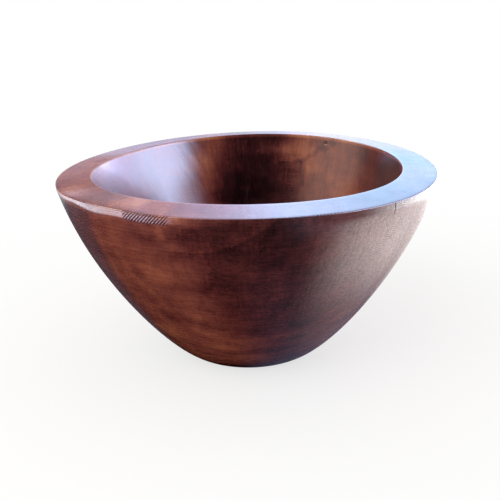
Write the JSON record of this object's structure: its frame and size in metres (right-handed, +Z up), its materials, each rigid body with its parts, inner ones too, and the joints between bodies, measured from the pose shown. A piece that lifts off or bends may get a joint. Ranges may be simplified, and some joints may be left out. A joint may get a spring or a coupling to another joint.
{
  "type": "wooden bowl",
  "caption": "Thick-walled turned wooden bowl with a wide outward-sloping rim, a narrow flat land below it and a small flat foot; holds fruit or salad on a table.",
  "frame": {"origin": "centre of the foot, on the plane that the bowl stands on", "axes": "+Z up along the turning axis, -Y towards the side that the picture shows, +X to that picture's right"},
  "size_m": [0.25, 0.25, 0.1299],
  "materials": {
    "oiled_wood": "reddish dark brown heartwood, oiled and waxed to a semi-gloss",
    "dead_knot": "near-black dead knot, flush with the wall",
    "dark_felt": "dark wool felt, glued in"
  },
  "bodies": {
    "root": {"bowl_body": "oiled_wood", "pin_knot": "dead_knot", "felt_disc": "dark_felt"}
  },
  "joints": []
}
